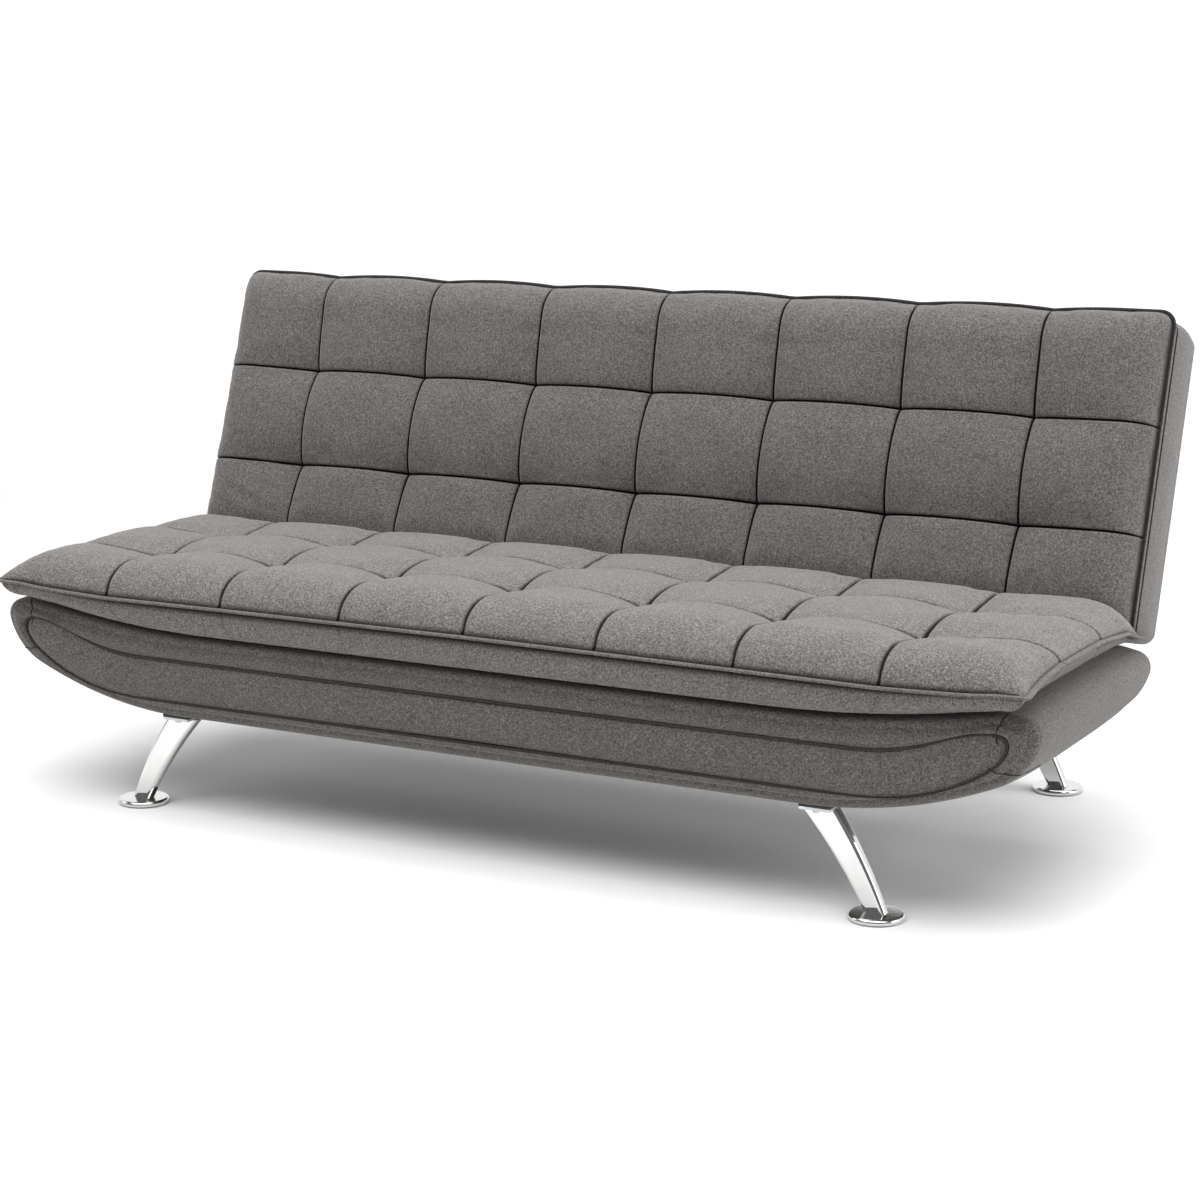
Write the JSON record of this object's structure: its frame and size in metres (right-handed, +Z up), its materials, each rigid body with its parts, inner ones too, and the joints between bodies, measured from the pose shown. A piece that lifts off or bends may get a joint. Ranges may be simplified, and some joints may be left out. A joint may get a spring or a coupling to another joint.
{
  "type": "futon sofa bed",
  "caption": "Armless click-clack sofa bed with a tufted seat, a tufted backrest that folds down level with it, a boat-shaped base and curved chrome legs.",
  "frame": {"origin": "centre of the bounding box on the floor, with the backrest upright", "axes": "+X along the width, the front faces -Y, +Z up"},
  "size_m": [1.852, 0.908, 0.8479],
  "materials": {
    "seat_fabric": "matte",
    "base_fabric": "matte",
    "back_fabric": "matte",
    "dark_piping": "matte",
    "lining_cloth": "matte",
    "timber": "matte",
    "tube_paint": "satin",
    "chrome": "polished",
    "zinc_steel": "satin",
    "spring_steel": "satin",
    "black_plastic": "matte",
    "bumper_rubber": "matte"
  },
  "bodies": {
    "base": {"back_bumper_left": "bumper_rubber", "back_bumper_right": "bumper_rubber", "base_front_board": "timber", "base_front_border": "base_fabric", "base_rear_board": "timber", "base_rear_cover": "base_fabric", "base_rib_left": "timber", "base_rib_right": "timber", "base_wrap": "base_fabric", "cross_rail_front": "tube_paint", "cross_rail_middle": "tube_paint", "cross_rail_rear": "tube_paint", "foot_disc_front_left": "chrome", "foot_disc_front_right": "chrome", "foot_disc_rear_left": "chrome", "foot_disc_rear_right": "chrome", "front_panel": "base_fabric", "front_welt": "base_fabric", "glide_pad_front_left": "black_plastic", "glide_pad_front_right": "black_plastic", "glide_pad_rear_left": "black_plastic", "glide_pad_rear_right": "black_plastic", "hinge_pin_left": "zinc_steel", "hinge_pin_right": "zinc_steel", "hinge_plate_left": "zinc_steel", "hinge_plate_right": "zinc_steel", "hinge_plate_screws": "zinc_steel", "leg_bolts": "zinc_steel", "leg_front_left": "chrome", "leg_front_right": "chrome", "leg_packers": "black_plastic", "leg_plate_front_left": "zinc_steel", "leg_plate_front_right": "zinc_steel", "leg_plate_rear_left": "zinc_steel", "leg_plate_rear_right": "zinc_steel", "leg_rear_left": "chrome", "leg_rear_right": "chrome", "rail_end_caps": "black_plastic", "seat_deck_cloth": "lining_cloth", "seat_pad": "seat_fabric", "seat_rail_front": "timber", "seat_rail_rear": "timber", "seat_springs": "spring_steel", "side_rail_left": "tube_paint", "side_rail_right": "tube_paint"},
    "backrest": {"back_pad": "back_fabric", "back_piping": "dark_piping", "back_rail_bottom": "timber", "back_rail_top": "timber", "back_rear_panel": "lining_cloth", "back_shell": "back_fabric", "back_springs": "spring_steel", "back_stile_centre": "timber", "back_stile_end_left": "timber", "back_stile_end_right": "timber", "back_stile_hinge_left": "timber", "back_stile_hinge_right": "timber", "hinge_arm_left": "zinc_steel", "hinge_arm_right": "zinc_steel", "hinge_arm_bolts": "zinc_steel"}
  },
  "joints": [
    {"name": "backrest_recline", "type": "hinge", "parent": "base", "child": "backrest", "pos_m": [0, 0.109, 0.35], "axis": [1, 0, 0], "range_deg": [-70.7, 0]}
  ]
}
